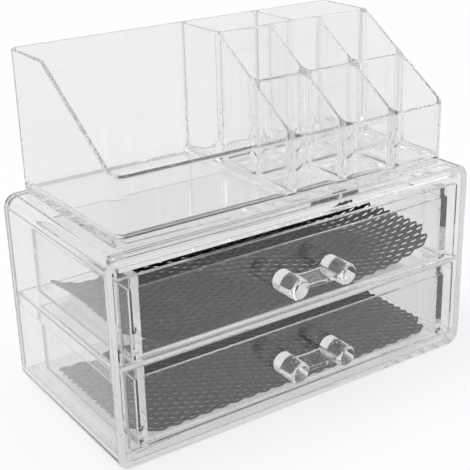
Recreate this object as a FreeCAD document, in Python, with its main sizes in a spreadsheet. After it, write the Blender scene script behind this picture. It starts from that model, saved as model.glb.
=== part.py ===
"""Clear makeup storage box: a two-drawer cabinet with a loose compartment tray standing on it.

Millimetres. +Z is up, +X is to the right seen from the front, and the drawers open towards -Y.
The origin is the centre of the cabinet's underside.
"""
import FreeCAD
import Part
import Sketcher
import math
import os

SIZES = {
    "cab_width": 240.0,
    "cab_depth": 120.0,
    "cab_height": 117.0,
    "cab_radius": 8.0,
    "side_wall": 4.5,
    "top_wall": 4.4,
    "bottom_wall": 4.4,
    "cavity_radius": 3.6,
    "lip_drop": 3.0,
    "lip_depth": 10.0,
    "back_wall": 4.0,
    "shelf_plate": 2.4,
    "shelf_setback": 0.4,
    "flange_width": 2.4,
    "bottom_shelf_top": 9.4,
    "bottom_shelf_half": 115.0,
    "bottom_flange_outer": 111.8,
    "middle_shelf_top": 59.1,
    "middle_flange_drop": 9.0,
    "middle_flange_front": 4.6,
    "slide_gap": 0.3,
    "front_half": 112.6,
    "front_height": 46.7,
    "front_plate": 3.0,
    "front_radius": 1.5,
    "tub_half": 107.0,
    "tub_back": 48.0,
    "tub_height": 39.4,
    "tub_wall": 2.0,
    "tub_floor": 1.6,
    "tub_radius": 1.0,
    "tub_fillet": 4.0,
    "corner_post_width": 6.6,
    "corner_post_depth": 15.0,
    "corner_post_height": 46.3,
    "handle_rise": 20.7,
    "handle_spread": 32.0,
    "post_radius": 6.2,
    "post_length": 17.5,
    "post_chamfer": 1.6,
    "web_plate": 2.9,
    "web_gap": 1.5,
    "web_depth": 14.0,
    "net_left": 99.8,
    "net_right": 99.8,
    "net_front": 51.0,
    "net_back": 41.0,
    "net_sheet": 1.2,
    "net_border": 1.5,
    "net_pitch_across": 13.4,
    "net_pitch_along": 9.4,
    "net_strand": 1.6,
    "tray_width": 215.6,
    "tray_front": 51.6,
    "tray_back": 59.8,
    "tray_height": 81.0,
    "tray_front_height": 36.0,
    "tray_slope_start": 18.0,
    "tray_wall": 2.3,
    "tray_floor": 3.5,
    "tray_radius": 4.5,
    "divider_plate": 2.0,
    "rear_divider_centre": 52.4,
    "column_inner_centre": 34.9,
    "column_outer_centre": 69.9,
    "cross_wall_centre": 15.0,
    "lap_height": 27.5,
    "lap_gap": 0.1,
}

doc = FreeCAD.newDocument("makeup_box")
sheet = doc.addObject("Spreadsheet::Sheet", "Sizes")
for row, (alias, number) in enumerate(SIZES.items(), start=1):
    sheet.set(f"A{row}", alias)
    sheet.set(f"B{row}", str(number))
    sheet.setAlias(f"B{row}", alias)
doc.recompute()


class Dim:
    """A length with its value and the sheet expression that gives it."""

    def __init__(self, value, text):
        self.value = value
        self.text = text

    def __add__(self, other):
        other = as_dim(other)
        return Dim(self.value + other.value, f"({self.text} + {other.text})")

    def __sub__(self, other):
        other = as_dim(other)
        return Dim(self.value - other.value, f"({self.text} - {other.text})")

    def __mul__(self, other):
        other = as_dim(other)
        return Dim(self.value * other.value, f"({self.text} * {other.text})")

    def __truediv__(self, other):
        other = as_dim(other)
        return Dim(self.value / other.value, f"({self.text} / {other.text})")

    def __neg__(self):
        return Dim(-self.value, f"(-1 * {self.text})")


def as_dim(number):
    """Gives a plain number the same form as a length from the sheet."""
    if isinstance(number, Dim):
        return number
    return Dim(float(number), repr(float(number)))


def size(alias):
    """One driving length from the sheet."""
    return Dim(float(sheet.get(alias)), f"Sizes.{alias}")


def bind(thing, prop, length):
    """Ties one property to the sheet."""
    thing.setExpression(prop, as_dim(length).text)


NODES = []


def node(thing, label):
    """Names a finished sub-part."""
    thing.Label = label
    NODES.append(thing)
    return thing


def box(name, low, high):
    """Rectangular block between two corners."""
    block = doc.addObject("Part::Box", name)
    for prop, a, b in zip(("Length", "Width", "Height"), low, high):
        bind(block, prop, as_dim(b) - a)
    for axis, a in zip("xyz", low):
        bind(block, f"Placement.Base.{axis}", a)
    return block


def post(name, radius, x, y_back, z, length):
    """Round post pointing forwards along -Y from y_back."""
    cylinder = doc.addObject("Part::Cylinder", name)
    cylinder.Placement.Rotation = FreeCAD.Rotation(FreeCAD.Vector(1, 0, 0), 90)
    bind(cylinder, "Radius", radius)
    bind(cylinder, "Height", length)
    for axis, a in zip("xyz", (x, y_back, z)):
        bind(cylinder, f"Placement.Base.{axis}", a)
    return cylinder


def chamfered_tip(name, radius, x, y_back, z, length):
    """Round tip that narrows at 45 degrees along -Y from y_back."""
    cone = doc.addObject("Part::Cone", name)
    cone.Placement.Rotation = FreeCAD.Rotation(FreeCAD.Vector(1, 0, 0), 90)
    bind(cone, "Radius1", radius)
    bind(cone, "Radius2", radius - length)
    bind(cone, "Height", length)
    for axis, a in zip("xyz", (x, y_back, z)):
        bind(cone, f"Placement.Base.{axis}", a)
    return cone


def fused(name, *things):
    """Joins solids into one moulding."""
    whole = doc.addObject("Part::MultiFuse", name)
    whole.Shapes = list(things)
    whole.Refine = True
    return whole


def cut(name, base, tool):
    """Takes one solid away from another."""
    rest = doc.addObject("Part::Cut", name)
    rest.Base = base
    rest.Tool = tool
    rest.Refine = True
    return rest


def sketch_on(body, plane, offset):
    """Empty sketch parallel to one of the body's own planes."""
    sketch = body.newObject("Sketcher::SketchObject", f"{body.Name}_sketch")
    support = next(f for f in body.Origin.OriginFeatures if f.Role == plane)
    sketch.AttachmentSupport = [(support, "")]
    sketch.MapMode = "FlatFace"
    bind(sketch, "AttachmentOffset.Base.z", offset)
    return sketch


def hold(sketch, edge, end, axis, length):
    """Fixes one end of an edge at a signed distance from the sketch's origin."""
    length = as_dim(length)
    kind = "DistanceX" if axis == "u" else "DistanceY"
    if length.value >= 0:
        row = Sketcher.Constraint(kind, -1, 1, edge, end, length.value)
        text = length.text
    else:
        row = Sketcher.Constraint(kind, edge, end, -1, 1, -length.value)
        text = (-length).text
    sketch.setExpression(f"Constraints[{sketch.addConstraint(row)}]", text)


def polygon(sketch, corners):
    """Closed outline through corners that are each held by two lengths."""
    corners = [(as_dim(u), as_dim(v)) for u, v in corners]
    points = [FreeCAD.Vector(u.value, v.value, 0) for u, v in corners]
    count = len(points)
    lines = [sketch.addGeometry(Part.LineSegment(points[i], points[(i + 1) % count])) for i in range(count)]
    for i in range(count):
        sketch.addConstraint(Sketcher.Constraint("Coincident", lines[i], 2, lines[(i + 1) % count], 1))
    for line, (u, v) in zip(lines, corners):
        hold(sketch, line, 1, "u", u)
        hold(sketch, line, 1, "v", v)


def rounded_rectangle(sketch, low, high, radius):
    """Closed rectangle with four equal round corners."""
    u0, v0 = (as_dim(a) for a in low)
    u1, v1 = (as_dim(a) for a in high)
    radius = as_dim(radius)
    r = radius.value
    left, bottom, right, top = u0.value, v0.value, u1.value, v1.value
    centres = [(right - r, bottom + r), (right - r, top - r), (left + r, top - r), (left + r, bottom + r)]
    ends = [
        ((left + r, bottom), (right - r, bottom)),
        ((right, bottom + r), (right, top - r)),
        ((right - r, top), (left + r, top)),
        ((left, top - r), (left, bottom + r)),
    ]
    normal = FreeCAD.Vector(0, 0, 1)
    sides = []
    arcs = []
    for i in range(4):
        start, stop = (FreeCAD.Vector(u, v, 0) for u, v in ends[i])
        sides.append(sketch.addGeometry(Part.LineSegment(start, stop)))
        circle = Part.Circle(FreeCAD.Vector(*centres[i], 0), normal, r)
        first = math.radians(-90 + 90 * i)
        arcs.append(sketch.addGeometry(Part.ArcOfCircle(circle, first, first + math.pi / 2)))
    for i in range(4):
        sketch.addConstraint(Sketcher.Constraint("Tangent", sides[i], 2, arcs[i], 1))
        sketch.addConstraint(Sketcher.Constraint("Tangent", arcs[i], 2, sides[(i + 1) % 4], 1))
    for i, way in enumerate(("Horizontal", "Vertical", "Horizontal", "Vertical")):
        sketch.addConstraint(Sketcher.Constraint(way, sides[i]))
    for i in range(1, 4):
        sketch.addConstraint(Sketcher.Constraint("Equal", arcs[0], arcs[i]))
    row = sketch.addConstraint(Sketcher.Constraint("Radius", arcs[0], r))
    sketch.setExpression(f"Constraints[{row}]", radius.text)
    hold(sketch, sides[3], 1, "u", u0)
    hold(sketch, sides[1], 1, "u", u1)
    hold(sketch, sides[0], 1, "v", v0)
    hold(sketch, sides[2], 1, "v", v1)


def pad(body, sketch, length):
    """Solid from a sketch, along the sketch's normal."""
    feature = body.newObject("PartDesign::Pad", f"{body.Name}_pad")
    feature.Profile = sketch
    bind(feature, "Length", length)
    doc.recompute()
    return feature


def pocket(body, sketch, length):
    """Hollow cut against the sketch's normal."""
    before = body.Shape.Volume
    feature = body.newObject("PartDesign::Pocket", f"{body.Name}_pocket")
    feature.Profile = sketch
    bind(feature, "Length", length)
    doc.recompute()
    if not body.Shape.Volume < before - 1.0:
        raise RuntimeError(f"{body.Label}: the hollow cuts nothing")
    return feature


def new_body(name):
    """Empty moulding."""
    return doc.addObject("PartDesign::Body", name)


# Heights and depths that several pieces share
front_y = -size("cab_depth") / 2
back_y = size("cab_depth") / 2
inside_half = size("cab_width") / 2 - size("side_wall")
ceiling = size("cab_height") - size("top_wall")
tub_front_y = front_y + size("front_plate")
rear_panel_y = back_y - size("back_wall")

# Cabinet: sleeve, back panel and the two shelves
sleeve = new_body("cabinet_sleeve")
outline = sketch_on(sleeve, "XZ_Plane", front_y)
half = size("cab_width") / 2
rounded_rectangle(outline, (-half, 0), (half, size("cab_height")), size("cab_radius"))
rounded_rectangle(outline, (-inside_half, size("bottom_wall")), (inside_half, ceiling), size("cavity_radius"))
pad(sleeve, outline, size("cab_depth"))
lip = sketch_on(sleeve, "XZ_Plane", -(front_y + size("lip_depth")))
lip_half = inside_half - size("cavity_radius")
lip_top = ceiling + size("top_wall") / 2
lip_low = ceiling - size("lip_drop")
polygon(lip, [(-lip_half, lip_low), (lip_half, lip_low), (lip_half, lip_top), (-lip_half, lip_top)])
pad(sleeve, lip, size("lip_depth"))
node(sleeve, "cabinet_sleeve")

rear = new_body("cabinet_back")
outline = sketch_on(rear, "XZ_Plane", front_y)
rounded_rectangle(outline, (-inside_half, size("bottom_wall")), (inside_half, ceiling), size("cavity_radius"))
pad(rear, outline, size("back_wall"))
node(rear, "cabinet_back")

shelf_front_y = front_y + size("shelf_setback")


def shelf(label, plate_half, top, flange_outer, flange_foot, flange_front):
    """Plate across the bay with a flange hanging along each side."""
    under = top - size("shelf_plate")
    plate = box(f"{label}_plate", (-plate_half, shelf_front_y, under), (plate_half, rear_panel_y, top))
    inner = flange_outer - size("flange_width")
    left = box(f"{label}_left", (-flange_outer, flange_front, flange_foot), (-inner, rear_panel_y, under))
    right = box(f"{label}_right", (inner, flange_front, flange_foot), (flange_outer, rear_panel_y, under))
    return node(fused(label, plate, left, right), label)


shelf(
    "bottom_shelf",
    size("bottom_shelf_half"),
    size("bottom_shelf_top"),
    size("bottom_flange_outer"),
    size("bottom_wall"),
    shelf_front_y,
)
shelf(
    "middle_shelf",
    inside_half,
    size("middle_shelf_top"),
    inside_half,
    size("middle_shelf_top") - size("middle_flange_drop"),
    front_y + size("middle_flange_front"),
)


def drawer(storey, floor_z):
    """Tub, front panel and handle of one drawer that stands at floor_z."""
    tub = new_body(f"{storey}_drawer_tub")
    tub_half = size("tub_half")
    wall = size("tub_wall")
    outline = sketch_on(tub, "XY_Plane", floor_z)
    rounded_rectangle(outline, (-tub_half, tub_front_y), (tub_half, size("tub_back")), size("tub_radius"))
    pad(tub, outline, size("tub_height"))
    mouth = sketch_on(tub, "XY_Plane", floor_z + size("tub_height"))
    low = (wall - tub_half, tub_front_y + wall)
    high = (tub_half - wall, size("tub_back") - wall)
    rounded_rectangle(mouth, low, high, size("tub_fillet"))
    pocket(tub, mouth, size("tub_height") - size("tub_floor"))
    corners = sketch_on(tub, "XY_Plane", floor_z)
    outer = tub_half - size("tub_radius")
    inner = tub_half - size("corner_post_width")
    rear_y = tub_front_y + size("corner_post_depth")
    polygon(corners, [(-outer, tub_front_y), (-inner, tub_front_y), (-inner, rear_y), (-outer, rear_y)])
    polygon(corners, [(inner, tub_front_y), (outer, tub_front_y), (outer, rear_y), (inner, rear_y)])
    pad(tub, corners, size("corner_post_height"))
    node(tub, f"{storey}_drawer_tub")

    panel = new_body(f"{storey}_drawer_front")
    outline = sketch_on(panel, "XZ_Plane", -tub_front_y)
    panel_half = size("front_half")
    top = floor_z + size("front_height")
    rounded_rectangle(outline, (-panel_half, floor_z), (panel_half, top), size("front_radius"))
    pad(panel, outline, size("front_plate"))
    node(panel, f"{storey}_drawer_front")

    grip_z = floor_z + size("handle_rise")
    grip_x = size("handle_spread") / 2
    web_back = front_y - size("web_gap")
    web = box(
        f"{storey}_web",
        (-grip_x, web_back - size("web_depth"), grip_z - size("web_plate") / 2),
        (grip_x, web_back, grip_z + size("web_plate") / 2),
    )
    posts = []
    tips = []
    radius = size("post_radius")
    chamfer = size("post_chamfer")
    straight = size("post_length") - chamfer
    for side, x in (("left", -grip_x), ("right", grip_x)):
        posts.append(post(f"{storey}_{side}_post", radius, x, front_y, grip_z, straight))
        tips.append(chamfered_tip(f"{storey}_{side}_tip", radius, x, front_y - straight, grip_z, chamfer))
    node(fused(f"{storey}_drawer_handle", web, *posts, *tips), f"{storey}_drawer_handle")


lower_floor = size("bottom_shelf_top") + size("slide_gap")
upper_floor = size("middle_shelf_top") + size("slide_gap")
drawer("lower", lower_floor)
drawer("upper", upper_floor)


def diamond(x, y, half_x, half_y):
    """Closed rhombus outline on the ground plane."""
    corners = [(x - half_x, y), (x, y - half_y), (x + half_x, y), (x, y + half_y), (x - half_x, y)]
    return Part.makePolygon([FreeCAD.Vector(u, v, 0) for u, v in corners])


def net(storey, floor_z):
    """Diamond net lying on the tub's floor, as one sheet with staggered openings."""
    left, right = -size("net_left").value, size("net_right").value
    front, back = -size("net_front").value, size("net_back").value
    border, strand = size("net_border").value, size("net_strand").value
    across, along = size("net_pitch_across").value, size("net_pitch_along").value
    slant = math.hypot(across, along)
    half_x = across / 2 - strand * slant / along / 2
    half_y = along / 2 - strand * slant / across / 2
    rim = [(left, front), (right, front), (right, back), (left, back), (left, front)]
    wires = [Part.makePolygon([FreeCAD.Vector(u, v, 0) for u, v in rim])]
    rows = int((back - front - 2 * border - 2 * half_y) // (along / 2)) + 1
    first_y = (front + back) / 2 - (rows - 1) * along / 4
    for j in range(rows):
        columns = int((right - left - 2 * border - 2 * half_x) // across) + 1 - j % 2
        first_x = (left + right) / 2 - (columns - 1) * across / 2
        for i in range(columns):
            wires.append(diamond(first_x + i * across, first_y + j * along / 2, half_x, half_y))
    face = Part.makeFace(wires, "Part::FaceMakerBullseye")
    liner = doc.addObject("Part::Feature", f"{storey}_net_liner")
    liner.Shape = face.extrude(FreeCAD.Vector(0, 0, size("net_sheet").value))
    liner.Placement = FreeCAD.Placement(
        FreeCAD.Vector(0, 0, floor_z.value + size("tub_floor").value), FreeCAD.Rotation()
    )
    print(f"{storey} net: {len(wires) - 1} openings")
    node(liner, f"{storey}_net_liner")


net("lower", lower_floor)
net("upper", upper_floor)

# Tray: one shell with a sloping rim, and the dividers that stand in it
tray_z = size("cab_height")
tray_half = size("tray_width") / 2
tray_front_y = -size("tray_front")
tray_back_y = size("tray_back")
tray_top = tray_z + size("tray_height")
tray_wall = size("tray_wall")
lip_z = tray_z + size("tray_front_height")
floor_top = tray_z + size("tray_floor")
inner_front_y = tray_front_y + tray_wall
inner_back_y = tray_back_y - tray_wall
inner_half = tray_half - tray_wall
slope_y = size("tray_slope_start")
rim_rise = (tray_top - lip_z) / (slope_y - tray_front_y)
spare = as_dim(20)


def rim_height(y):
    """Height of the sloping rim at a depth y in front of where the slope starts."""
    return lip_z + (as_dim(y) - tray_front_y) * rim_rise


shell = new_body("tray_shell")
outline = sketch_on(shell, "XY_Plane", tray_z)
rounded_rectangle(outline, (-tray_half, tray_front_y), (tray_half, tray_back_y), size("tray_radius"))
pad(shell, outline, size("tray_height"))
wedge = sketch_on(shell, "YZ_Plane", tray_half + spare)
polygon(
    wedge,
    [
        (slope_y, tray_top),
        (slope_y, tray_top + spare),
        (tray_front_y - spare, tray_top + spare),
        (tray_front_y - spare, lip_z),
        (tray_front_y, lip_z),
    ],
)
pocket(shell, wedge, size("tray_width") + spare * 2)
mouth = sketch_on(shell, "XY_Plane", tray_top)
rounded_rectangle(mouth, (-inner_half, inner_front_y), (inner_half, inner_back_y), size("tray_radius") - tray_wall)
pocket(shell, mouth, size("tray_height") - size("tray_floor"))
node(shell, "tray_shell")


def profile_plate(name, centre, corners):
    """Upright plate with a side outline, centred on a width position."""
    plate = new_body(name)
    outline = sketch_on(plate, "YZ_Plane", centre - size("divider_plate") / 2)
    polygon(outline, corners)
    pad(plate, outline, size("divider_plate"))
    return plate


section = profile_plate(
    "tray_section_divider",
    as_dim(0),
    [
        (inner_back_y, floor_top),
        (inner_back_y, tray_top),
        (slope_y, tray_top),
        (inner_front_y, rim_height(inner_front_y)),
        (inner_front_y, floor_top),
    ],
)
node(section, "tray_section_divider")

plate = size("divider_plate")
section_face = plate / 2
rear_wall_back = slope_y + plate
rear_wall = box("rear_wall", (section_face, slope_y, floor_top), (inner_half, rear_wall_back, tray_top))
node(rear_wall, "tray_rear_wall")
rear_centre = size("rear_divider_centre")
rear_low = (rear_centre - plate / 2, rear_wall_back, floor_top)
rear_high = (rear_centre + plate / 2, inner_back_y, tray_top)
node(box("rear_divider", rear_low, rear_high), "tray_rear_divider")

# The cross wall and the column dividers cross in half laps
cross_y = -size("cross_wall_centre")
cross_front = cross_y - plate / 2
cross_back = cross_y + plate / 2
lap_z = floor_top + size("lap_height")
lap_gap = size("lap_gap")
cross_top = rim_height(cross_front)
columns = {"inner": size("column_inner_centre"), "outer": size("column_outer_centre")}
cross_plate = box("cross_plate", (section_face, cross_front, floor_top), (inner_half, cross_back, cross_top))
slots = []
for place, centre in columns.items():
    low = (centre - plate / 2 - lap_gap, cross_front - spare, floor_top - spare)
    high = (centre + plate / 2 + lap_gap, cross_back + spare, lap_z)
    slots.append(box(f"cross_slot_{place}", low, high))
node(cut("cross_wall", cross_plate, fused("cross_slots", *slots)), "tray_cross_wall")
for place, centre in columns.items():
    divider = profile_plate(
        f"tray_column_divider_{place}",
        centre,
        [
            (slope_y, floor_top),
            (slope_y, tray_top),
            (cross_back + lap_gap, rim_height(cross_back + lap_gap)),
            (cross_back + lap_gap, lap_z),
            (cross_front - lap_gap, lap_z),
            (cross_front - lap_gap, rim_height(cross_front - lap_gap)),
            (inner_front_y, rim_height(inner_front_y)),
            (inner_front_y, floor_top),
        ],
    )
    node(divider, f"tray_column_divider_{place}")

doc.recompute()
for thing in doc.Objects:
    bad = [word for word in thing.State if word in ("Invalid", "Error")]
    if bad:
        raise RuntimeError(f"{thing.Label}: {bad}")
for thing in NODES:
    if thing.Shape.isNull() or not thing.Shape.isValid() or len(thing.Shape.Solids) != 1:
        raise RuntimeError(f"{thing.Label}: not one sound solid")

os.makedirs("parts", exist_ok=True)
for thing in NODES:
    thing.Shape.exportStep(f"parts/{thing.Label}.step")
    bounds = thing.Shape.BoundBox
    low = (bounds.XMin, bounds.YMin, bounds.ZMin)
    high = (bounds.XMax, bounds.YMax, bounds.ZMax)
    spans = " ".join(f"{a:.2f}..{b:.2f}" for a, b in zip(low, high))
    print(f"{thing.Label}: {spans} volume {thing.Shape.Volume / 1000:.2f} cm3")
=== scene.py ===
"""Clear make-up storage box: a two-drawer cabinet with net liners under a stepped organiser tray.

Every length in the classes is in millimetres, in the frame of the solids: the origin is the middle of the
cabinet's underside, +Z is up, +X is to the right seen from the front, and the drawers open towards -Y.
"""
import logging
import math
from dataclasses import dataclass, field
from enum import Enum
from typing import Iterable, Sequence

import bmesh
import bpy
from bmesh.types import BMEdge, BMesh, BMFace, BMVert
from mathutils import Matrix, Vector


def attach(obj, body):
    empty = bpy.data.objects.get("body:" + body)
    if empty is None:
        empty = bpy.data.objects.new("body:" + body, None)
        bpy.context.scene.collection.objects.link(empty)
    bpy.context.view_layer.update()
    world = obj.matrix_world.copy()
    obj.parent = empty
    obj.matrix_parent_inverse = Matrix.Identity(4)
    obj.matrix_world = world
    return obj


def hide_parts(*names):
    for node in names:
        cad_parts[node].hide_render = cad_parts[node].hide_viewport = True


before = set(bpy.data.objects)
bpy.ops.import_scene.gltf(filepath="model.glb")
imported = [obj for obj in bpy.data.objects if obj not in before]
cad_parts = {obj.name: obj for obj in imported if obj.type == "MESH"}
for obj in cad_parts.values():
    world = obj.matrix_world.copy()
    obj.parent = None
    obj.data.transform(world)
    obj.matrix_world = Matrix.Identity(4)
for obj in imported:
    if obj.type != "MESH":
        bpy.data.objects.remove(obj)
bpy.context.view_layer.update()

LOG = logging.getLogger("makeup_box")
MM = 0.001
SHARP = math.radians(50.0)
FLAT = math.radians(0.5)
NEAR = 0.01
MERGE = 0.001
PARALLEL = 0.999
WIDEST_FACE = 100

Point = tuple[float, float, float]


class Body(Enum):
    """The bodies that the pieces ride on."""

    CABINET = "cabinet"
    UPPER_DRAWER = "upper_drawer"
    LOWER_DRAWER = "lower_drawer"
    TRAY = "tray"


class Slot(Enum):
    """The record's material slots."""

    CLEAR = "clear_plastic"
    NET = "net_plastic"


class Way(Enum):
    """The three directions of the frame."""

    ACROSS = Vector((1.0, 0.0, 0.0))
    DEEP = Vector((0.0, 1.0, 0.0))
    UP = Vector((0.0, 0.0, 1.0))


class Shaping(Enum):
    """The two ways of combining closed shapes."""

    JOIN = "UNION"
    CUT = "DIFFERENCE"


# Finishes


class HandlingMarks:
    """Node group shared by every plastic here: soft smears, fine rubbing and a moulding's slow ripple."""

    NAME = "handling_marks"
    SMEAR_SPAN = (0.45, 0.75)

    @classmethod
    def tree(cls) -> bpy.types.NodeTree:
        """Build the group once and hand it out again afterwards.

        Returns:
            The shader node group, with smear, rub and ripple sizes as inputs.
        """
        known = bpy.data.node_groups.get(cls.NAME)
        if known is not None:
            return known
        tree = bpy.data.node_groups.new(cls.NAME, "ShaderNodeTree")
        for name, value in (
            ("Smear Scale", 14.0),
            ("Rub Scale", 420.0),
            ("Ripple Scale", 30.0),
            ("Smooth", 0.0),
            ("Dull", 0.05),
        ):
            socket = tree.interface.new_socket(name=name, in_out="INPUT", socket_type="NodeSocketFloat")
            socket.default_value = value
        for name in ("Roughness", "Ripple", "Smear"):
            tree.interface.new_socket(name=name, in_out="OUTPUT", socket_type="NodeSocketFloat")
        nodes, links = tree.nodes, tree.links
        given, out = nodes.new("NodeGroupInput"), nodes.new("NodeGroupOutput")
        place = nodes.new("ShaderNodeTexCoord")
        smear, rub, ripple = (nodes.new("ShaderNodeTexNoise") for _ in range(3))
        layers = ((smear, "Smear Scale", 3.0), (rub, "Rub Scale", 2.0), (ripple, "Ripple Scale", 1.0))
        for noise, scale, detail in layers:
            noise.inputs["Detail"].default_value = detail
            links.new(place.outputs["Object"], noise.inputs["Vector"])
            links.new(given.outputs[scale], noise.inputs["Scale"])
        lift = nodes.new("ShaderNodeMapRange")
        lift.inputs["From Min"].default_value, lift.inputs["From Max"].default_value = cls.SMEAR_SPAN
        links.new(smear.outputs["Fac"], lift.inputs["Value"])
        grit = nodes.new("ShaderNodeMath")
        grit.operation = "MULTIPLY"
        links.new(lift.outputs["Result"], grit.inputs[0])
        links.new(rub.outputs["Fac"], grit.inputs[1])
        spread = nodes.new("ShaderNodeMapRange")
        links.new(grit.outputs["Value"], spread.inputs["Value"])
        links.new(given.outputs["Smooth"], spread.inputs["To Min"])
        links.new(given.outputs["Dull"], spread.inputs["To Max"])
        links.new(spread.outputs["Result"], out.inputs["Roughness"])
        links.new(ripple.outputs["Fac"], out.inputs["Ripple"])
        links.new(lift.outputs["Result"], out.inputs["Smear"])
        return tree


@dataclass(frozen=True)
class ClearPlastic:
    """A clear, hard plastic with a faint grey body tint."""

    name: str
    tint: Point
    ior: float = 1.49
    density: float = 2.5
    absorb: Point = (0.3, 0.32, 0.33)
    smooth: float = 0.0
    dull: float = 0.03
    ripple: float = 0.02
    ripple_scale: float = 26.0
    ripple_height: float = 0.01

    def material(self) -> bpy.types.Material:
        """Build the material, or hand out the one already built.

        Returns:
            The finished material.
        """
        known = bpy.data.materials.get(self.name)
        if known is not None:
            return known
        made = bpy.data.materials.new(self.name)
        made.use_nodes = True
        nodes, links = made.node_tree.nodes, made.node_tree.links
        body = nodes["Principled BSDF"]
        body.inputs["Base Color"].default_value = (*self.tint, 1.0)
        body.inputs["IOR"].default_value = self.ior
        body.inputs["Transmission Weight"].default_value = 1.0
        marks = nodes.new("ShaderNodeGroup")
        marks.node_tree = HandlingMarks.tree()
        marks.inputs["Ripple Scale"].default_value = self.ripple_scale
        marks.inputs["Smooth"].default_value = self.smooth
        marks.inputs["Dull"].default_value = self.dull
        links.new(marks.outputs["Roughness"], body.inputs["Roughness"])
        wave = nodes.new("ShaderNodeBump")
        wave.inputs["Strength"].default_value = self.ripple
        wave.inputs["Distance"].default_value = self.ripple_height
        links.new(marks.outputs["Ripple"], wave.inputs["Height"])
        links.new(wave.outputs["Normal"], body.inputs["Normal"])
        depth = nodes.new("ShaderNodeVolumeAbsorption")
        depth.inputs["Color"].default_value = (*self.absorb, 1.0)
        depth.inputs["Density"].default_value = self.density
        links.new(depth.outputs["Volume"], nodes["Material Output"].inputs["Volume"])
        return made


@dataclass(frozen=True)
class NetPlastic:
    """The dull black plastic of the drawer nets."""

    name: str = "black_net"
    dark: Point = (0.006, 0.006, 0.007)
    worn: Point = (0.022, 0.022, 0.024)
    gloss: float = 0.2
    smear_scale: float = 60.0
    rub_scale: float = 1800.0
    grain_scale: float = 900.0
    smooth: float = 0.55
    dull: float = 0.9
    grain: float = 0.25
    grain_height: float = 0.0004

    def material(self) -> bpy.types.Material:
        """Build the material, or hand out the one already built.

        Returns:
            The finished material.
        """
        known = bpy.data.materials.get(self.name)
        if known is not None:
            return known
        made = bpy.data.materials.new(self.name)
        made.use_nodes = True
        nodes, links = made.node_tree.nodes, made.node_tree.links
        body = nodes["Principled BSDF"]
        body.inputs["Specular IOR Level"].default_value = self.gloss
        marks = nodes.new("ShaderNodeGroup")
        marks.node_tree = HandlingMarks.tree()
        marks.inputs["Smear Scale"].default_value = self.smear_scale
        marks.inputs["Rub Scale"].default_value = self.rub_scale
        marks.inputs["Ripple Scale"].default_value = self.grain_scale
        marks.inputs["Smooth"].default_value = self.smooth
        marks.inputs["Dull"].default_value = self.dull
        blend = nodes.new("ShaderNodeMix")
        blend.data_type = "RGBA"
        blend.inputs["A"].default_value = (*self.dark, 1.0)
        blend.inputs["B"].default_value = (*self.worn, 1.0)
        links.new(marks.outputs["Smear"], blend.inputs["Factor"])
        links.new(blend.outputs["Result"], body.inputs["Base Color"])
        links.new(marks.outputs["Roughness"], body.inputs["Roughness"])
        wave = nodes.new("ShaderNodeBump")
        wave.inputs["Strength"].default_value = self.grain
        wave.inputs["Distance"].default_value = self.grain_height
        links.new(marks.outputs["Ripple"], wave.inputs["Height"])
        links.new(wave.outputs["Normal"], body.inputs["Normal"])
        return made


SHEET = ClearPlastic("clear_sheet", tint=(0.985, 0.987, 0.988), ripple=0.005)
MOULDED = ClearPlastic("clear_moulding", tint=(0.982, 0.984, 0.985), ripple=0.006)
TURNED = ClearPlastic("clear_handle", tint=(0.99, 0.99, 0.99), ripple=0.01)
NET = NetPlastic()


# Shaping


def slab(bm: BMesh, low: Point, high: Point) -> list[BMVert]:
    """Add a box between two opposite corners.

    Args:
        bm: The mesh that the box is added to.
        low: Its lowest corner.
        high: Its highest corner.

    Returns:
        The eight corners.
    """
    made = bmesh.ops.create_cube(bm, size=1.0)["verts"]
    span = Vector(high) - Vector(low)
    bmesh.ops.scale(bm, vec=span, verts=made)
    bmesh.ops.translate(bm, vec=(Vector(low) + Vector(high)) / 2.0, verts=made)
    return made


def edges_of(parts: Iterable[BMVert | BMFace]) -> list[BMEdge]:
    """List the edges that belong to some vertices or faces, each once."""
    return list({edge for part in parts for edge in getattr(part, "link_edges", None) or part.edges})


def edges_along(edges: Iterable[BMEdge], way: Way) -> list[BMEdge]:
    """Pick the straight edges that run one way.

    Args:
        edges: The edges to choose from.
        way: The direction to keep.

    Returns:
        The edges that run along it.
    """
    return [
        edge
        for edge in edges
        if abs((edge.verts[1].co - edge.verts[0].co).normalized().dot(way.value)) > PARALLEL
    ]


def round_off(bm: BMesh, edges: Sequence[BMEdge], radius: float, segments: int, clamp: bool = True) -> None:
    """Round some edges to a radius.

    Args:
        bm: The mesh that the edges belong to.
        edges: The edges to round.
        radius: The radius of a square edge after rounding.
        segments: How many faces go round the curve.
        clamp: Whether a short edge holds the radius back.
    """
    bmesh.ops.bevel(
        bm,
        geom=list(edges),
        offset=radius,
        offset_type="OFFSET",
        segments=segments,
        profile=0.5,
        affect="EDGES",
        clamp_overlap=clamp,
        material=-1,
    )


def ease(bm: BMesh, width: float, segments: int = 2, clamp: bool = True) -> None:
    """Take the sharpness off every edge that is still sharp.

    Args:
        bm: The mesh to ease.
        width: The width of the eased edge.
        segments: How many faces go round it.
        clamp: Whether a short edge holds the width back.
    """
    keen = [edge for edge in bm.edges if len(edge.link_faces) == 2 and edge.calc_face_angle(0.0) > SHARP]
    round_off(bm, keen, width, segments, clamp)


def faces_towards(bm: BMesh, way: Vector, at: float | None = None) -> list[BMFace]:
    """Find the flat faces that look one way.

    Args:
        bm: The mesh to search.
        way: The direction that the faces look in.
        at: Where they lie along that direction, or None for anywhere.

    Returns:
        The faces found.
    """
    bm.normal_update()
    found = [face for face in bm.faces if face.normal.dot(way) > PARALLEL]
    return [face for face in found if at is None or abs(face.calc_center_median().dot(way) - at) < NEAR]


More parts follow.
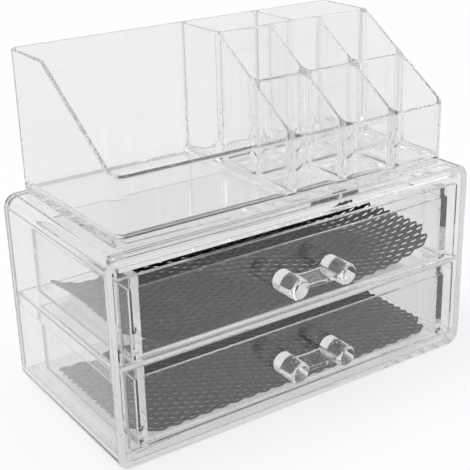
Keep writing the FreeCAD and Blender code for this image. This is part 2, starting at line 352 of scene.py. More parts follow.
def rounded_outline(bm: BMesh, low: Point, high: Point, radius: float, segments: int) -> list[BMEdge]:
    """Draw a rectangle with round corners in the XZ plane at low's Y, in a mesh that has no faces yet.

    Args:
        bm: The mesh that the outline is drawn in.
        low: The lowest corner.
        high: The highest corner.
        radius: The corner radius.
        segments: How many edges go round a corner.

    Returns:
        The closed loop of edges.
    """
    corners = [
        bm.verts.new((x, low[1], z))
        for x, z in ((low[0], low[2]), (high[0], low[2]), (high[0], high[2]), (low[0], high[2]))
    ]
    bm.faces.new(corners)
    bmesh.ops.bevel(
        bm, geom=corners, offset=radius, offset_type="OFFSET", segments=segments, profile=0.5,
        affect="VERTICES", material=-1,
    )
    loop = [edge for face in bm.faces for edge in face.edges]
    bmesh.ops.delete(bm, geom=list(bm.faces), context="FACES_ONLY")
    return loop


def push(bm: BMesh, faces: Sequence[BMFace], by: Point, keep_start: bool = False) -> list[BMFace]:
    """Extrude faces as one region.

    Args:
        bm: The mesh that the faces belong to.
        faces: The faces to extrude.
        by: How far and which way they go.
        keep_start: Whether the faces stay as the near end of a new solid.

    Returns:
        The faces at the far end.
    """
    made = bmesh.ops.extrude_face_region(bm, geom=list(faces))["geom"]
    bmesh.ops.translate(bm, vec=by, verts=[item for item in made if isinstance(item, BMVert)])
    if not keep_start:
        bmesh.ops.delete(bm, geom=list(faces), context="FACES")
    return [item for item in made if isinstance(item, BMFace)]


def combined(first: BMesh, second: BMesh, shaping: Shaping) -> BMesh:
    """Join or cut one closed mesh with another.

    Args:
        first: The mesh that is kept. It is freed.
        second: The mesh that is added or taken away. It is freed.
        shaping: Whether the second is joined to the first or cut from it.

    Returns:
        A new mesh with the result.
    """
    held = []
    for bm in (first, second):
        bmesh.ops.recalc_face_normals(bm, faces=bm.faces)
        mesh = bpy.data.meshes.new("shaping")
        bm.to_mesh(mesh)
        bm.free()
        thing = bpy.data.objects.new("shaping", mesh)
        bpy.context.collection.objects.link(thing)
        held.append(thing)
    step = held[0].modifiers.new("shaping", "BOOLEAN")
    step.object, step.operation, step.solver = held[1], shaping.value, "EXACT"
    shape = bpy.data.meshes.new_from_object(held[0].evaluated_get(bpy.context.evaluated_depsgraph_get()))
    result = bmesh.new()
    result.from_mesh(shape)
    for thing in held:
        mesh = thing.data
        bpy.data.objects.remove(thing)
        bpy.data.meshes.remove(mesh)
    bpy.data.meshes.remove(shape)
    bmesh.ops.remove_doubles(result, verts=result.verts, dist=MERGE)
    bmesh.ops.dissolve_limit(
        result, angle_limit=FLAT, verts=result.verts, edges=result.edges, use_dissolve_boundaries=False
    )
    return result


def piece(
    name: str, bm: BMesh, finish: ClearPlastic | NetPlastic, body: Body, rounds: int = 0
) -> bpy.types.Object:
    """Turn a finished bmesh into a piece of the object.

    Args:
        name: The piece's name.
        bm: Its shape in millimetres. It is freed.
        finish: What it is made of.
        body: The body that it rides on.
        rounds: How many times the mesh is divided and rounded all over.

    Returns:
        The new object.
    """
    bmesh.ops.recalc_face_normals(bm, faces=bm.faces)
    bmesh.ops.scale(bm, vec=(MM, MM, MM), verts=bm.verts)
    mesh = bpy.data.meshes.new(name)
    bm.to_mesh(mesh)
    bm.free()
    mesh.polygons.foreach_set("use_smooth", [True] * len(mesh.polygons))
    mesh.materials.append(finish.material())
    made = bpy.data.objects.new(name, mesh)
    bpy.context.collection.objects.link(made)
    if rounds:
        soft = made.modifiers.new("soft_rounding", "SUBSURF")
        soft.levels = soft.render_levels = rounds
    else:
        mesh.set_sharp_from_angle(angle=SHARP)
        even = made.modifiers.new("even_shading", "WEIGHTED_NORMAL")
        even.keep_sharp = True
        even.weight = WIDEST_FACE
    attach(made, body.value)
    LOG.info("%s: %d faces", name, len(mesh.polygons))
    return made


# The cabinet


@dataclass
class Cabinet:
    """The open-fronted sleeve with its back sheet and the two shelves that carry the drawers."""

    half_width: float = 120.0
    half_depth: float = 60.0
    height: float = 117.0
    corner: float = 8.0
    inner_half_width: float = 115.5
    inner_floor: float = 4.4
    inner_top: float = 112.6
    inner_corner: float = 3.6
    lip_low: float = 109.6
    lip_back: float = -50.0
    lip_root: float = 1.0
    back_front: float = 56.0
    shelf_front: float = -59.6
    shelf_thick: float = 2.4
    shelf_edge: float = 0.35
    bottom_shelf_half: float = 115.0
    bottom_shelf_top: float = 9.4
    bottom_runner: tuple[float, float] = (109.4, 111.8)
    middle_shelf_top: float = 59.1
    middle_runner_inner: float = 113.2
    middle_runner_low: float = 50.1
    middle_runner_front: float = -55.4
    joint: float = 0.08
    edge: float = 0.5

    def build(self) -> None:
        """Build and dress the cabinet's pieces."""
        self.sleeve()
        self.back()
        self.bottom_shelf()
        self.middle_shelf()

    def sleeve(self) -> None:
        """Build the rounded sleeve, open at the front."""
        bm = bmesh.new()
        outer = rounded_outline(
            bm, (-self.half_width, -self.half_depth, 0.0), (self.half_width, -self.half_depth, self.height),
            self.corner, 12,
        )
        inner = rounded_outline(
            bm, (-self.inner_half_width, -self.half_depth, self.inner_floor),
            (self.inner_half_width, -self.half_depth, self.inner_top), self.inner_corner, 12,
        )
        ring = bmesh.ops.bridge_loops(bm, edges=outer + inner)["faces"]
        push(bm, ring, (0.0, 2.0 * self.half_depth, 0.0), keep_start=True)
        bm = combined(bm, self.lip(), Shaping.JOIN)
        ease(bm, self.edge, 3, clamp=False)
        made = piece("clear_cabinet_sleeve", bm, SHEET, Body.CABINET)
        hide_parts("cabinet_sleeve")

    def lip(self) -> BMesh:
        """Shape the bar that hangs under the front of the sleeve's top.

        Returns:
            The bar's shape, let into the top a little.
        """
        bm = bmesh.new()
        half = self.inner_half_width - self.inner_corner
        high = self.inner_top + self.lip_root
        slab(bm, (-half, -self.half_depth, self.lip_low), (half, self.lip_back, high))
        return bm

    def back(self) -> None:
        """Build the sheet that closes the back."""
        bm = bmesh.new()
        slab(
            bm,
            (-self.inner_half_width + self.joint, self.back_front, self.inner_floor + self.joint),
            (self.inner_half_width - self.joint, self.half_depth, self.inner_top - self.joint),
        )
        round_off(bm, edges_along(bm.edges, Way.DEEP), self.inner_corner, 8)
        ease(bm, self.edge)
        made = piece("clear_cabinet_back", bm, SHEET, Body.CABINET)
        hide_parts("cabinet_back")

    def shelf(self, half: float, high: float, foot: tuple[float, float], drop: float, start: float) -> BMesh:
        """Shape a shelf with a runner under each side.

        Args:
            half: Half the shelf's width.
            high: Its top.
            foot: The runner's inner and outer distance from the middle.
            drop: The runner's underside.
            start: Where the runner begins behind the front.

        Returns:
            The shelf's shape.
        """
        bm = bmesh.new()
        low, end = round(high - self.shelf_thick, 3), self.back_front - self.joint
        rows = sorted({-half, -foot[1], -foot[0], foot[0], foot[1], half})
        bottom = [bm.verts.new((x, start, low)) for x in rows]
        top = [bm.verts.new((x, start, high)) for x in rows]
        plate = [bm.faces.new((bottom[i], bottom[i + 1], top[i + 1], top[i])) for i in range(len(rows) - 1)]
        runners = []
        for inner, outer in ((-foot[0], -foot[1]), (foot[0], foot[1])):
            a, b = bottom[rows.index(inner)], bottom[rows.index(outer)]
            low_a, low_b = bm.verts.new((inner, start, drop)), bm.verts.new((outer, start, drop))
            runners.append(bm.faces.new((a, b, low_b, low_a)))
        bmesh.ops.recalc_face_normals(bm, faces=bm.faces)
        push(bm, plate + runners, (0.0, end - start, 0.0), keep_start=True)
        bmesh.ops.recalc_face_normals(bm, faces=bm.faces)
        nose = [f for f in faces_towards(bm, -Way.DEEP.value, -start) if f.calc_center_median().z > low]
        if start > self.shelf_front:
            push(bm, nose, (0.0, self.shelf_front - start, 0.0))
        bmesh.ops.dissolve_limit(bm, angle_limit=FLAT, verts=bm.verts, edges=bm.edges)
        ease(bm, self.shelf_edge)
        return bm

    def bottom_shelf(self) -> None:
        """Build the raised floor under the lower drawer."""
        foot = self.inner_floor + self.joint
        bm = self.shelf(
            self.bottom_shelf_half, self.bottom_shelf_top, self.bottom_runner, foot, self.shelf_front
        )
        made = piece("clear_bottom_shelf", bm, SHEET, Body.CABINET)
        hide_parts("bottom_shelf")

    def middle_shelf(self) -> None:
        """Build the shelf between the drawers."""
        half = self.inner_half_width - self.joint
        bm = self.shelf(
            half, self.middle_shelf_top, (self.middle_runner_inner, half), self.middle_runner_low,
            self.middle_runner_front,
        )
        made = piece("clear_middle_shelf", bm, SHEET, Body.CABINET)
        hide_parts("middle_shelf")


# The drawers


@dataclass(frozen=True)
class NetLie:
    """How a net lies in its drawer: the rise of its right and left ends, its waves and its strands."""

    curl: float
    rise: float
    swell: float
    strand: float


@dataclass
class Drawer:
    """One drawer: a moulded tub, the front sheet, the pull and the net that lies in it."""

    name: str
    body: Body
    floor: float
    handle_height: float
    net_lie: NetLie
    half_width: float = 107.0
    front: float = -57.0
    back: float = 48.0
    wall: float = 2.0
    base: float = 1.6
    depth: float = 39.4
    corner: float = 1.0
    inner_corner: float = 4.0
    floor_round: float = 1.3
    edge: float = 0.45
    corner_post_width: float = 6.6
    corner_post_depth: float = 15.0
    corner_post_low: float = 0.8
    corner_post_drop: float = 0.4
    panel_half_width: float = 112.6
    panel_height: float = 46.7
    panel_front: float = -60.0
    panel_corner: float = 1.5
    air: float = 0.2
    post_spread: float = 16.0
    post_radius: float = 6.2
    post_chamfer: float = 1.6
    post_steps: int = 40
    rim_round: float = 0.3
    reach: float = 17.5
    glue: float = 0.03
    pull_edge: float = 0.35
    web_thick: float = 2.9
    web_overlap: float = 1.0
    web_setback: float = 2.0
    web_gap: float = 1.5
    web_hollow: float = 0.9
    web_level: float = 0.6

    def build(self) -> None:
        """Build and dress the drawer's pieces."""
        self.tub()
        self.panel()
        self.pull()
        self.net()

    def tub(self) -> None:
        """Build the open tub."""
        bm = bmesh.new()
        top = self.floor + self.depth
        slab(bm, (-self.half_width, self.front + self.air, self.floor), (self.half_width, self.back, top))
        lid = faces_towards(bm, Way.UP.value)
        bmesh.ops.inset_region(bm, faces=lid, thickness=self.wall, use_even_offset=True)
        push(bm, lid, (0.0, 0.0, self.base - self.depth))
        bmesh.ops.recalc_face_normals(bm, faces=bm.faces)
        upright = edges_along(bm.edges, Way.UP)
        outer = [edge for edge in upright if abs(abs(edge.verts[0].co.x) - self.half_width) < NEAR]
        inner = [edge for edge in upright if edge not in outer]
        round_off(bm, outer, self.corner, 4)
        round_off(bm, [edge for edge in inner if edge.is_valid], self.inner_corner, 8)
        under, inside = (self.level_faces(bm, self.floor + rise) for rise in (0.0, self.base))
        round_off(bm, edges_of(under) + edges_of(inside), self.floor_round, 4)
        ease(bm, self.edge, 3)
        bm = combined(bm, self.corner_posts(), Shaping.JOIN)
        made = piece(f"{self.name}_clear_tub", bm, MOULDED, self.body)
        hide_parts(f"{self.name}_tub")

    def corner_posts(self) -> BMesh:
        """Shape the solid posts in the tub's front corners, which carry the front sheet.

        Returns:
            Both posts as one mesh.
        """
        bm = bmesh.new()
        outer = self.half_width - self.corner
        inner = self.half_width - self.corner_post_width
        near, far = self.front + 2.0 * self.air, self.front + self.corner_post_depth
        low = self.floor + self.corner_post_low
        top = self.floor + self.panel_height - self.corner_post_drop
        for side in (-1.0, 1.0):
            left, right = sorted((side * outer, side * inner))
            slab(bm, (left, near, low), (right, far, top))
        ease(bm, self.edge, 3)
        return bm

    @staticmethod
    def level_faces(bm: BMesh, height: float) -> list[BMFace]:
        """Find the level faces at one height."""
        return [face for face in bm.faces if all(abs(vert.co.z - height) < NEAR for vert in face.verts)]

    def panel(self) -> None:
        """Build the front sheet."""
        bm = bmesh.new()
        slab(
            bm,
            (-self.panel_half_width, self.panel_front, self.floor),
            (self.panel_half_width, self.front, self.floor + self.panel_height),
        )
        round_off(bm, edges_along(bm.edges, Way.DEEP), self.panel_corner, 5)
        ease(bm, self.edge, 3)
        made = piece(f"{self.name}_clear_front", bm, SHEET, self.body)
        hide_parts(f"{self.name}_front")

    def post(self, side: float) -> BMesh:
        """Turn one solid post of the pull, chamfered at its end.

        Args:
            side: Its distance from the middle.

        Returns:
            The post's shape.
        """
        bm = bmesh.new()
        rear, tip = self.panel_front - self.glue, self.panel_front - self.reach
        profile = (
            (0.0, rear), (self.post_radius, rear), (self.post_radius, tip + self.post_chamfer),
            (self.post_radius - self.post_chamfer, tip), (0.0, tip),
        )
        line = [bm.verts.new((side + radius, y, self.handle_height)) for radius, y in profile]
        edges = [bm.edges.new(pair) for pair in zip(line, line[1:])]
        bmesh.ops.spin(
            bm, geom=line + edges, cent=(side, 0.0, self.handle_height), axis=(0.0, 1.0, 0.0),
            angle=2.0 * math.pi, steps=self.post_steps, use_merge=True, use_duplicate=False,
        )
        bmesh.ops.remove_doubles(bm, verts=bm.verts, dist=MERGE)
        bmesh.ops.recalc_face_normals(bm, faces=bm.faces)
        return bm

    def web(self) -> BMesh:
        """Shape the bar between the posts, hollowed a little along its top.

        Returns:
            The bar's shape, which runs into both posts.
        """
        bm = bmesh.new()
        half, thick = self.post_spread - self.post_radius + self.web_overlap, self.web_thick / 2.0
        slab(
            bm,
            (-half, self.panel_front - self.reach + self.web_setback, self.handle_height - thick),
            (half, self.panel_front - self.web_gap, self.handle_height + thick),
        )
        bmesh.ops.subdivide_edges(bm, edges=edges_along(bm.edges, Way.ACROSS), cuts=9, use_grid_fill=True)
        for vert in bm.verts:
            if vert.co.z > self.handle_height:
                vert.co.z += self.web_hollow * ((vert.co.x / half) ** 2 - self.web_level)
        bmesh.ops.recalc_face_normals(bm, faces=bm.faces)
        return bm

    def pull(self) -> None:
        """Build the pull as one moulding of two posts and a bar."""
        shape = combined(self.post(-self.post_spread), self.web(), Shaping.JOIN)
        shape = combined(shape, self.post(self.post_spread), Shaping.JOIN)
        tip = self.panel_front - self.reach
        rims = [edge for edge in shape.edges if all(abs(vert.co.y - tip) < NEAR for vert in edge.verts)]
        round_off(shape, rims, self.rim_round, 4)
        ease(shape, self.pull_edge)
        made = piece(f"{self.name}_clear_handle", shape, TURNED, self.body)
        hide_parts(f"{self.name}_handle")

    def net(self) -> None:
        """Build the diamond net that lies on the drawer's floor."""
        level = self.name.split("_")[0]
        posts = (self.half_width - self.corner_post_width, self.front + self.corner_post_depth)
        NetLiner(level, self.body, self.floor + self.base, self.net_lie, self.inner_corner, posts).build()


@dataclass
class NetLiner:
    """A black plastic net with diamond openings, laid loose on a drawer's floor."""

    level: str
    body: Body
    floor: float
    lie: NetLie
    corner: float
    posts: tuple[float, float]
    low: tuple[float, float] = (-104.8, -54.7)
    high: tuple[float, float] = (104.8, 37.5)
    curl_start: float = 60.0
    rise_start: float = -76.0
    cell: tuple[float, float] = (9.5, 5.74)
    thick: float = 1.8
    clearance: float = 0.3
    lowest: float = 0.1
    wave_pitch: tuple[float, float] = (17.0, 15.0)
    wave_shift: tuple[float, float] = (0.6, -0.4)
    slow_pitch: tuple[float, float] = (31.0, 23.0)
    slow_share: float = 0.6

    def build(self) -> None:
        """Build and dress the net."""
        bm = bmesh.new()
        width, length = self.high[0] - self.low[0], self.high[1] - self.low[1]
        count = math.ceil(width / self.cell[0] + length / self.cell[1]) + 2
        bmesh.ops.create_grid(bm, x_segments=count, y_segments=count, size=count / 2.0)
        turn = Matrix.Rotation(math.radians(45.0), 4, "Z")
        bmesh.ops.transform(bm, matrix=turn, verts=bm.verts)
        step = math.sqrt(0.5)
        bmesh.ops.scale(bm, vec=(self.cell[0] * step, self.cell[1] * step, 1.0), verts=bm.verts)
        middle = Vector(((self.low[0] + self.high[0]) / 2, (self.low[1] + self.high[1]) / 2, 0.0))
        bmesh.ops.translate(bm, vec=middle, verts=bm.verts)
        outside = [face for face in bm.faces if not all(self.covers(vert.co, middle) for vert in face.verts)]
        bmesh.ops.delete(bm, geom=outside, context="FACES")
        holes = list(bm.faces)
        bmesh.ops.inset_individual(bm, faces=holes, thickness=self.lie.strand, use_even_offset=True)
        bmesh.ops.delete(bm, geom=holes, context="FACES")
        area = sum(face.calc_area() for face in bm.faces) * MM * MM
        for vert in bm.verts:
            vert.co.z = self.floor + self.lift(vert.co.x, vert.co.y)
        bmesh.ops.solidify(bm, geom=list(bm.faces), thickness=-self.thick)
        made = piece(f"{self.level}_black_net", bm, NET, self.body, rounds=1)
        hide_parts(f"{self.level}_net_liner")

    def covers(self, place: Vector, middle: Vector) -> bool:
        """Tell whether the net reaches a place, inside the tub's round corners and clear of its posts.

        Args:
            place: The place on the tub's floor.
            middle: The middle of the net.

        Returns:
            Whether the net covers it.
        """
        if abs(place.x) > self.posts[0] - self.clearance and place.y < self.posts[1] + self.clearance:
            return False
        spans = ((self.high[i] - self.low[i]) / 2.0 - self.corner for i in range(2))
        away = (max(abs(place[i] - middle[i]) - span, 0.0) for i, span in enumerate(spans))
        return math.hypot(*away) <= self.corner

    def lift(self, x: float, y: float) -> float:
        """Give the height of the net's underside above the floor at one place.

        Args:
            x: The place across the drawer.
            y: The place along the drawer.

        Returns:
            The height, never below a tenth of a millimetre.
        """
        across = math.sin(x / self.wave_pitch[0] + self.wave_shift[0])
        along = math.cos(y / self.wave_pitch[1] + self.wave_shift[1])
        slow = math.sin(x / self.slow_pitch[0] + y / self.slow_pitch[1])
        right = max(0.0, (x - self.curl_start) / (self.high[0] - self.curl_start))
        left = max(0.0, (x - self.rise_start) / (self.low[0] - self.rise_start))
        waves = self.lie.swell * max(0.0, 0.5 + 0.5 * (across * along + self.slow_share * slow))
        return self.lowest + waves + self.lie.curl * right**2 + self.lie.rise * left**2


# The tray


@dataclass
class OrganiserTray:
    """The loose tray on top: one moulding with a tall back, a sloping front and nine compartments."""

    half_width: float = 107.8
    front: float = -51.6
    back: float = 59.8
    base: float = 117.0
    top: float = 198.0
    slope_start: float = 19.0
    slope_end: float = 153.0
    wall: float = 2.3
    floor: float = 120.5
    corner: float = 5.5
    fillet: float = 5.0
    rim_round: float = 0.85
    foot_round: float = 1.2
    seat: float = 0.05
    divider: float = -1.0
    headroom: float = 10.0
    columns: Sequence[tuple[float, float]] = ((1.0, 33.9), (35.9, 68.9), (70.9, 105.5))
    halves: Sequence[tuple[float, float]] = ((1.0, 51.4), (53.4, 105.5))
    rows: Sequence[tuple[float, float]] = ((-49.3, -16.0), (-14.0, 18.0))
    rear: tuple[float, float] = (20.0, 57.5)
    nodes: Sequence[str] = field(
        default=(
            "tray_shell", "tray_section_divider", "tray_rear_wall", "tray_rear_divider", "tray_cross_wall",
            "tray_column_divider_inner", "tray_column_divider_outer",
        )
    )

    def build(self) -> None:
        """Build and dress the tray."""
        shape = combined(self.block(), self.pockets(), Shaping.CUT)
        ease(shape, self.rim_round, 4, clamp=False)
        made = piece("clear_organiser_tray", shape, MOULDED, Body.TRAY)
        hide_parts(*self.nodes)

    def block(self) -> BMesh:
        """Shape the outside as a solid with its front sloped off.

        Returns:
            The solid, before the compartments are cut.
        """
        bm = bmesh.new()
        low = self.base + self.seat
        slab(bm, (-self.half_width, self.front, low), (self.half_width, self.back, self.top))
        round_off(bm, edges_along(bm.edges, Way.UP), self.corner, 10)
        run, rise = self.slope_start - self.front, self.top - self.slope_end
        cut = bmesh.ops.bisect_plane(
            bm, geom=list(bm.verts) + list(bm.edges) + list(bm.faces), dist=0.0001,
            plane_co=(0.0, self.slope_start, self.top), plane_no=Vector((0.0, -rise, run)).normalized(),
            clear_outer=True,
        )["geom_cut"]
        bmesh.ops.holes_fill(bm, edges=[item for item in cut if isinstance(item, BMEdge)], sides=0)
        bmesh.ops.recalc_face_normals(bm, faces=bm.faces)
        round_off(bm, edges_of(Drawer.level_faces(bm, low)), self.foot_round, 4)
        return bm

    def pockets(self) -> BMesh:
        """Shape the nine compartments as solids that stand above the rim.

        Returns:
            All nine as one mesh.
        """
        bm = bmesh.new()
        left = self.wall - self.half_width
        self.pocket(bm, (left, self.divider), (self.front + self.wall, self.back - self.wall))
        for across in self.halves:
            self.pocket(bm, across, self.rear)
        for across in self.columns:
            for deep in self.rows:
                self.pocket(bm, across, deep)
        return bm

    def pocket(self, bm: BMesh, across: tuple[float, float], deep: tuple[float, float]) -> None:
        """Add one compartment, rounded at its corners and round its floor.

        Args:
            bm: The mesh that it is added to.
            across: Its left and right side.
            deep: Its front and back.
        """
        above = self.top + self.headroom
        edges = edges_of(slab(bm, (across[0], deep[0], self.floor), (across[1], deep[1], above)))
        floor = [edge for edge in edges if all(abs(vert.co.z - self.floor) < NEAR for vert in edge.verts)]
        round_off(bm, edges_along(edges, Way.UP) + floor, self.fillet, 6)


# The studio


@dataclass
class Studio:
    """White floor, soft lamps and the camera at the photograph's viewing angle."""

    eye: Point = (-323.5, -479.5, 318.4)
    azimuth: float = -33.59
    elevation: float = 22.20
    roll: float = -1.59
    lens_pixels: float = 1071.5
    frame_pixels: float = 470.0
    sensor: float = 36.0
    clip: tuple[float, float] = (0.01, 30.0)
    footprint: Point = (0.12, 0.06, 1.0)
    floor_radius: float = 6.0
    floor_drop: float = 0.0004
    floor_paint: float = 0.9
    floor_roughness: float = 0.9
    glow_reach: float = 0.10
    glow_under: float = 0.8
    glow_beyond: float = 0.97
    through_plastic: float = 0.88
    # Painted shade: seen in mirrors, the floor glows dimmer at the front (0.75) than at the back (0.9).
    mirror_span: tuple[float, float] = (-0.22, 0.08)
    mirror_painted_shade: tuple[float, float] = (0.75, 0.9)
    sky_low: tuple[float, Point] = (0.5, (0.88, 0.88, 0.88))
    sky_high: tuple[float, Point] = (0.95, (0.48, 0.48, 0.49))
    room_span: tuple[float, float] = (-0.85, -0.15)
    room_light: tuple[float, float] = (0.55, 1.0)
    fill: float = 0.9
    bounces: int = 160
    open_bounces: int = 16
    aim: Point = (0.0, 0.0, 0.09)

    def build(self) -> None:
        """Set up the floor, the light and the camera."""
        self.floor()
        self.sky()
        self.lamps()
        self.camera()
        scene = bpy.context.scene
        scene.view_settings.view_transform = "Standard"
        scene.cycles.max_bounces = self.bounces
        scene.cycles.transmission_bounces = self.bounces
        scene.cycles.glossy_bounces = self.bounces
        scene.cycles.transparent_max_bounces = self.open_bounces

    def seen_directly(self, nodes: bpy.types.Nodes, links: bpy.types.NodeLinks) -> bpy.types.NodeSocket:
        """Add nodes that tell rays of sight, mirror and glass from rays of light.

        Args:
            nodes: The tree's nodes.
            links: The tree's links.

        Returns:
            A socket that is 1 for a ray of sight.
        """
        path = nodes.new("ShaderNodeLightPath")
        total = path.outputs["Is Camera Ray"]
        for kind in ("Is Glossy Ray", "Is Transmission Ray"):
            add = nodes.new("ShaderNodeMath")
            add.operation = "MAXIMUM"
            links.new(total, add.inputs[0])
            links.new(path.outputs[kind], add.inputs[1])
            total = add.outputs["Value"]
        return total

    def beyond_footprint(self, nodes: bpy.types.Nodes, links: bpy.types.NodeLinks) -> bpy.types.NodeSocket:
        """Add nodes that measure how far a place on the floor is from the box's footprint.

        Args:
            nodes: The tree's nodes.
            links: The tree's links.

        Returns:
            A socket with the distance in metres, 0 under the box.
        """
        place = nodes.new("ShaderNodeTexCoord")
        even, past, clear, far = (nodes.new("ShaderNodeVectorMath") for _ in range(4))
        for node, operation in ((even, "ABSOLUTE"), (past, "SUBTRACT"), (clear, "MAXIMUM"), (far, "LENGTH")):
            node.operation = operation
        past.inputs[1].default_value = self.footprint
        clear.inputs[1].default_value = (0.0, 0.0, 0.0)
        links.new(place.outputs["Object"], even.inputs[0])
        for first, second in ((even, past), (past, clear), (clear, far)):
            links.new(first.outputs["Vector"], second.inputs[0])
        return far.outputs["Value"]

    @staticmethod
    def ramp(
        nodes: bpy.types.Nodes, span: tuple[float, float], values: tuple[float, float]
    ) -> bpy.types.ShaderNodeMapRange:
        """Add a node that runs from one value to another.

        Args:
            nodes: The tree's nodes.
            span: Where it starts and ends.
            values: What it gives there.

        Returns:
            The new node.
        """
        made = nodes.new("ShaderNodeMapRange")
        for end, start, value in zip(("Min", "Max"), span, values):
            made.inputs[f"From {end}"].default_value = start
            made.inputs[f"To {end}"].default_value = value
        return made

    def brightness(self, nodes: bpy.types.Nodes, links: bpy.types.NodeLinks) -> bpy.types.NodeSocket:
        """Add nodes that give the floor's brightness: white to the eye, less through plastic, and in mirrors
        a painted shade that darkens the floor towards the front of the box.

        Args:
            nodes: The tree's nodes.
            links: The tree's links.

        Returns:
            A socket with the strength of the floor's own light.
        """
        path = nodes.new("ShaderNodeLightPath")
        through = nodes.new("ShaderNodeMapRange")
        through.inputs["To Min"].default_value = self.through_plastic
        through.inputs["To Max"].default_value = 1.0
        links.new(path.outputs["Is Camera Ray"], through.inputs["Value"])
        place = nodes.new("ShaderNodeTexCoord")
        parts = nodes.new("ShaderNodeSeparateXYZ")
        links.new(place.outputs["Object"], parts.inputs["Vector"])
        # Painted shade: in mirrors the floor's glow rises from the front to the back, so the floor in front
        # of the box looks shaded by it.
        painted_mirror_shade = self.ramp(nodes, self.mirror_span, self.mirror_painted_shade)
        links.new(parts.outputs["Y"], painted_mirror_shade.inputs["Value"])
        pick = nodes.new("ShaderNodeMix")
        links.new(path.outputs["Is Glossy Ray"], pick.inputs["Factor"])
        links.new(through.outputs["Result"], pick.inputs["A"])
        links.new(painted_mirror_shade.outputs["Result"], pick.inputs["B"])
        return pick.outputs["Result"]

    def floor(self) -> None:
        """Lay the white floor."""
        bm = bmesh.new()
        bmesh.ops.create_circle(bm, cap_ends=True, cap_tris=False, segments=96, radius=self.floor_radius)
        bmesh.ops.translate(bm, vec=(0.0, 0.0, -self.floor_drop), verts=bm.verts)
        mesh = bpy.data.meshes.new("studio_floor")
        bm.to_mesh(mesh)
        bm.free()
        paint = bpy.data.materials.new("floor_white")
        paint.use_nodes = True
        nodes, links = paint.node_tree.nodes, paint.node_tree.links
        base = nodes["Principled BSDF"]
        base.inputs["Base Color"].default_value = (*(self.floor_paint,) * 3, 1.0)
        base.inputs["Roughness"].default_value = self.floor_roughness
        base.inputs["Specular IOR Level"].default_value = 0.0
        glow = nodes.new("ShaderNodeEmission")
        links.new(self.brightness(nodes, links), glow.inputs["Strength"])
        fade = self.ramp(nodes, (0.0, self.glow_reach), (self.glow_under, self.glow_beyond))
        fade.interpolation_type = "SMOOTHSTEP"
        links.new(self.beyond_footprint(nodes, links), fade.inputs["Value"])
        share = nodes.new("ShaderNodeMath")
        share.operation = "MULTIPLY"
        links.new(self.seen_directly(nodes, links), share.inputs[0])
        links.new(fade.outputs["Result"], share.inputs[1])
        mix = nodes.new("ShaderNodeMixShader")
        links.new(share.outputs["Value"], mix.inputs["Fac"])
        links.new(base.outputs["BSDF"], mix.inputs[1])
        links.new(glow.outputs["Emission"], mix.inputs[2])
        links.new(mix.outputs["Shader"], nodes["Material Output"].inputs["Surface"])
        mesh.materials.append(paint)
        ground = bpy.data.objects.new("studio_floor", mesh)
        bpy.context.collection.objects.link(ground)

    def sky(self) -> None:
        """Surround the object with soft white light, darker overhead and on the camera's side."""
        world = bpy.data.worlds.new("studio")
        bpy.context.scene.world = world
        world.use_nodes = True
        nodes, links = world.node_tree.nodes, world.node_tree.links
        way = nodes.new("ShaderNodeTexCoord")
        parts = nodes.new("ShaderNodeSeparateXYZ")
        links.new(way.outputs["Generated"], parts.inputs["Vector"])
        ramp = nodes.new("ShaderNodeValToRGB")
        ramp.color_ramp.interpolation = "EASE"
        for stop, (height, colour) in zip(ramp.color_ramp.elements, (self.sky_low, self.sky_high)):
            stop.position, stop.color = height, (*colour, 1.0)
        links.new(parts.outputs["Z"], ramp.inputs["Fac"])
        room = self.ramp(nodes, self.room_span, self.room_light)
        room.interpolation_type = "SMOOTHSTEP"
        links.new(parts.outputs["Y"], room.inputs["Value"])
        shade = nodes.new("ShaderNodeVectorMath")
        shade.operation = "SCALE"
        links.new(ramp.outputs["Color"], shade.inputs["Vector"])
        links.new(room.outputs["Result"], shade.inputs["Scale"])
        path = nodes.new("ShaderNodeLightPath")
        mix = nodes.new("ShaderNodeMix")
        mix.data_type = "RGBA"
        links.new(path.outputs["Is Camera Ray"], mix.inputs["Factor"])
        links.new(shade.outputs["Vector"], mix.inputs["A"])
        mix.inputs["B"].default_value = (1.0, 1.0, 1.0, 1.0)
        links.new(mix.outputs["Result"], nodes["Background"].inputs["Color"])
        dim = nodes.new("ShaderNodeMapRange")
        dim.inputs["To Min"].default_value = 1.0
        dim.inputs["To Max"].default_value = self.fill
        links.new(path.outputs["Is Diffuse Ray"], dim.inputs["Value"])
        links.new(dim.outputs["Result"], nodes["Background"].inputs["Strength"])

    def lamps(self) -> None:
        """Hang two soft lamps."""
        for name, place, size, power in (
            ("overhead_softbox", (-0.45, 0.15, 1.1), 0.8, 6.0),
            ("side_softbox", (1.0, -0.5, 0.75), 0.6, 2.0),
        ):
            lamp = bpy.data.lights.new(name, "AREA")
            lamp.shape, lamp.size, lamp.energy = "SQUARE", size, power
            thing = bpy.data.objects.new(name, lamp)
            thing.location = place
            way = Vector(self.aim) - Vector(place)
            thing.rotation_euler = way.to_track_quat("-Z", "Y").to_euler()
            bpy.context.collection.objects.link(thing)

    def camera(self) -> None:
        """Place the camera where the photograph was taken from."""
        turn, tip, lean = (math.radians(angle) for angle in (self.azimuth, self.elevation, self.roll))
        back = Vector((math.sin(turn) * math.cos(tip), -math.cos(turn) * math.cos(tip), math.sin(tip)))
        right = Vector((math.cos(turn), math.sin(turn), 0.0))
        up = back.cross(right)
        level = Matrix((right, up, back)).transposed()
        data = bpy.data.cameras.new("photo_camera")
        data.sensor_width = self.sensor
        data.lens = self.sensor * self.lens_pixels / self.frame_pixels
        data.clip_start, data.clip_end = self.clip
        thing = bpy.data.objects.new("photo_camera", data)
        spun = level @ Matrix.Rotation(lean, 3, "Z")
        thing.matrix_world = Matrix.Translation(Vector(self.eye) * MM) @ spun.to_4x4()
        bpy.context.collection.objects.link(thing)
        bpy.context.scene.camera = thing


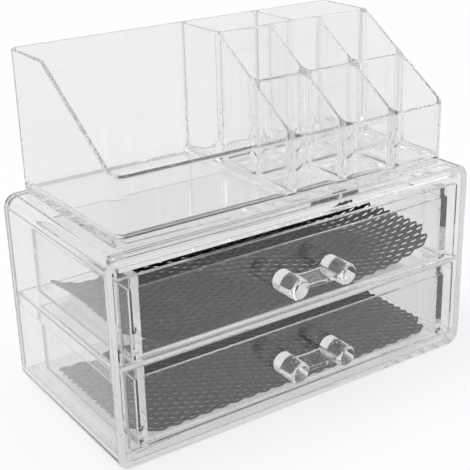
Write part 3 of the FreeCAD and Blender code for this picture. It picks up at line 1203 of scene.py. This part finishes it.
def main() -> None:
    """Build every part of the box and its studio."""
    logging.basicConfig(level=logging.INFO, format="%(name)s %(message)s")
    Cabinet().build()
    nearly_flat = NetLie(curl=2.0, rise=0.8, swell=0.6, strand=0.9)
    curled = NetLie(curl=14.0, rise=9.0, swell=3.4, strand=0.56)
    Drawer("lower_drawer", Body.LOWER_DRAWER, floor=9.7, handle_height=30.4, net_lie=nearly_flat).build()
    Drawer("upper_drawer", Body.UPPER_DRAWER, floor=59.4, handle_height=80.1, net_lie=curled).build()
    OrganiserTray().build()
    Studio().build()


if __name__ == "__main__":
    main()
